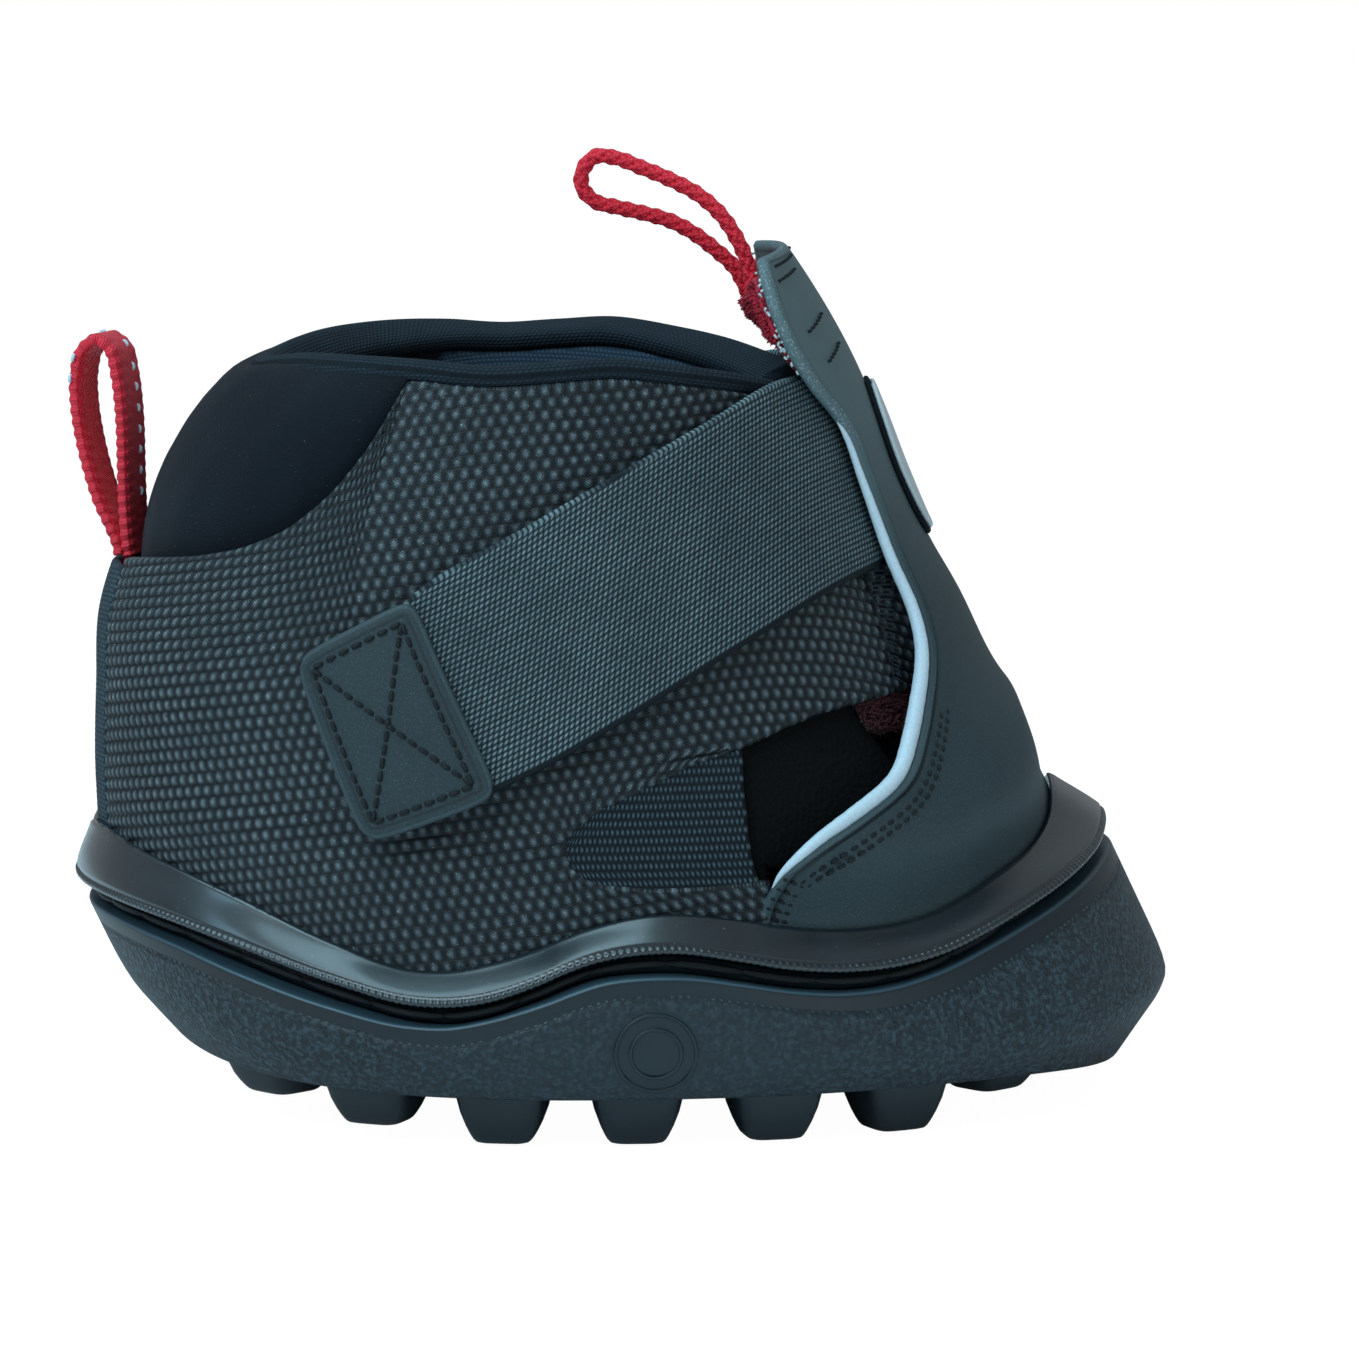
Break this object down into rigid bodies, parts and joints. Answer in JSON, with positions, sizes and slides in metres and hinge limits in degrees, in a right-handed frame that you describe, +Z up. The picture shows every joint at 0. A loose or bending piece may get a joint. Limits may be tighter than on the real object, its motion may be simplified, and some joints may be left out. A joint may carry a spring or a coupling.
{
  "type": "horse hoof boot",
  "caption": "Horse hoof boot: lugged rubber cup sole, woven nylon upper with padded collar, fold-down front flap, peel-off side straps and pull loops.",
  "frame": {"origin": "on the ground, in the middle of the flat foot of the centre lug of the sole", "axes": "+X to the toe, +Y to the boot's left side, +Z up"},
  "size_m": [0.1681, 0.129, 0.1398],
  "materials": {
    "sole_rubber": "matt moulded rubber with a fine pebble texture",
    "rand_rubber": "smooth glossy rubber",
    "welt_thread": "waxed black thread",
    "insole_foam": "closed-cell foam",
    "counter_board": "fibre board",
    "stay_tape": "woven tape",
    "panel_nylon": "coarse ballistic nylon weave",
    "quarter_foam": "foam laminate",
    "lining_cloth": "smooth knit lining",
    "collar_neoprene": "knit-faced neoprene",
    "binding_knit": "knit binding tape",
    "elastic_knit": "ribbed elastic",
    "cover_leather": "matt synthetic leather",
    "piping_silver": "reflective ribbed piping",
    "pile_red": "short loop pile",
    "badge_edge": "black moulded edge",
    "badge_face": "plain moulded patch, bare",
    "strap_webbing": "fine woven webbing",
    "loop_red": "red webbing with white dashes",
    "cord_red": "red braided cord"
  },
  "bodies": {
    "root": {"collar_binding": "binding_knit", "elastic_insert_left": "elastic_knit", "elastic_insert_right": "elastic_knit", "heel_collar_pad": "collar_neoprene", "heel_counter": "counter_board", "heel_loop_anchor": "loop_red", "heel_stay": "stay_tape", "insole": "insole_foam", "insole_board": "counter_board", "insole_cover": "lining_cloth", "outsole": "sole_rubber", "quarter_foam_left": "quarter_foam", "quarter_foam_right": "quarter_foam", "quarter_lining_left": "lining_cloth", "quarter_lining_right": "lining_cloth", "rand": "rand_rubber", "side_loop_patch_left": "binding_knit", "side_loop_patch_right": "binding_knit", "side_panel_left": "panel_nylon", "side_panel_right": "panel_nylon", "vamp": "cover_leather", "vamp_lining": "pile_red", "vamp_piping_left": "piping_silver", "vamp_piping_right": "piping_silver", "welt": "sole_rubber", "welt_thread": "welt_thread"},
    "flap": {"badge_base": "badge_edge", "badge_patch": "badge_face", "flap": "cover_leather", "flap_lining": "pile_red", "flap_piping_left": "piping_silver", "flap_piping_right": "piping_silver", "front_loop_anchor": "cord_red", "strap_root_left": "strap_webbing", "strap_root_right": "strap_webbing"},
    "strap_left": {"strap_hook_patch_left": "binding_knit", "strap_left": "strap_webbing", "strap_tab_left": "cover_leather"},
    "strap_right": {"strap_hook_patch_right": "binding_knit", "strap_right": "strap_webbing", "strap_tab_right": "cover_leather"},
    "heel_loop": {"heel_pull_loop": "loop_red"},
    "front_loop": {"front_pull_loop": "cord_red"}
  },
  "joints": [
    {"name": "flap_fold", "type": "hinge", "parent": "root", "child": "flap", "pos_m": [0.05345, 0, 0.06855], "axis": [0, 1, 0], "range_deg": [0, 100]},
    {"name": "strap_right_peel", "type": "hinge", "parent": "flap", "child": "strap_right", "pos_m": [0.02991, -0.02898, 0.09345], "axis": [-0.4408, -0.052, 0.8961], "range_deg": [0, 85]},
    {"name": "strap_left_peel", "type": "hinge", "parent": "flap", "child": "strap_left", "pos_m": [0.02991, 0.02898, 0.09345], "axis": [0.4408, -0.052, -0.8961], "range_deg": [0, 85]},
    {"name": "heel_loop_swing", "type": "hinge", "parent": "root", "child": "heel_loop", "pos_m": [-0.0753, 0, 0.0799], "axis": [0, -1, 0], "range_deg": [0, 55], "stiffness_Nm_per_rad": 0.002},
    {"name": "front_loop_swing", "type": "hinge", "parent": "flap", "child": "front_loop", "pos_m": [0.0184, 0, 0.1176], "axis": [0, 1, 0], "range_deg": [-15, 12], "stiffness_Nm_per_rad": 0.004}
  ]
}
